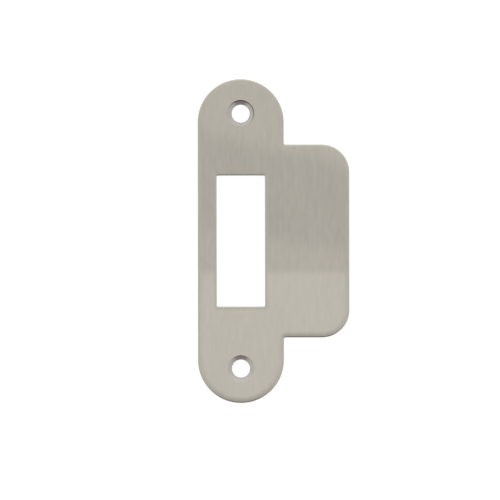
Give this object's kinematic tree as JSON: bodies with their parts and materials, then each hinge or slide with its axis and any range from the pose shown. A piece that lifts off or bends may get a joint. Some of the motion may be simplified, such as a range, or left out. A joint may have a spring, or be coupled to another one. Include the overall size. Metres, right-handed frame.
{
  "type": "door strike plate",
  "caption": "Flat door strike plate with rounded ends, a rectangular latch opening, a wide rounded side lip and countersunk screw holes, in brushed stainless sheet.",
  "frame": {"origin": "on the back face, midway between the two screw holes", "axes": "+Z out of the front face that shows on the jamb, +Y along the strip's length, +X from the strip towards the lip"},
  "size_m": [0.044, 0.094, 0.002],
  "materials": {
    "brushed_stainless": "satin"
  },
  "bodies": {
    "root": {"strike_plate": "brushed_stainless"}
  },
  "joints": []
}
